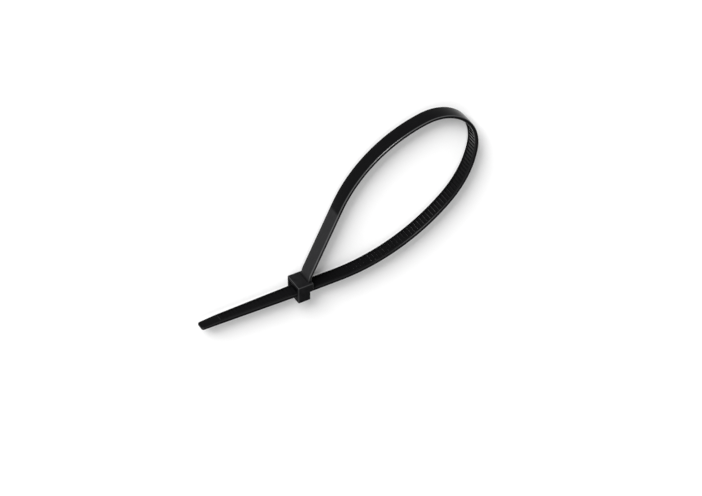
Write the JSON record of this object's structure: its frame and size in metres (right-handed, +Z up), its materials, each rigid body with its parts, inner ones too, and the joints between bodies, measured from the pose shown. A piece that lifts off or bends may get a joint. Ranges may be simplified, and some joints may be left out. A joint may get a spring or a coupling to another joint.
{
  "type": "cable tie",
  "caption": "Cable tie closed in a loop: a flat toothed strap runs from its ratchet head round a teardrop loop, back through the head and out as a tapered tail.",
  "frame": {"origin": "centre of the slot, on the side face of the head that the tie rests on", "axes": "+X along the slot towards the loop, +Y along the strap where it leaves the head, +Z up, across the width of the strap"},
  "size_m": [0.0915, 0.0507, 0.0068],
  "materials": {
    "nylon": "black moulded nylon with a soft sheen"
  },
  "bodies": {
    "root": {"cable_tie": "nylon"}
  },
  "joints": []
}
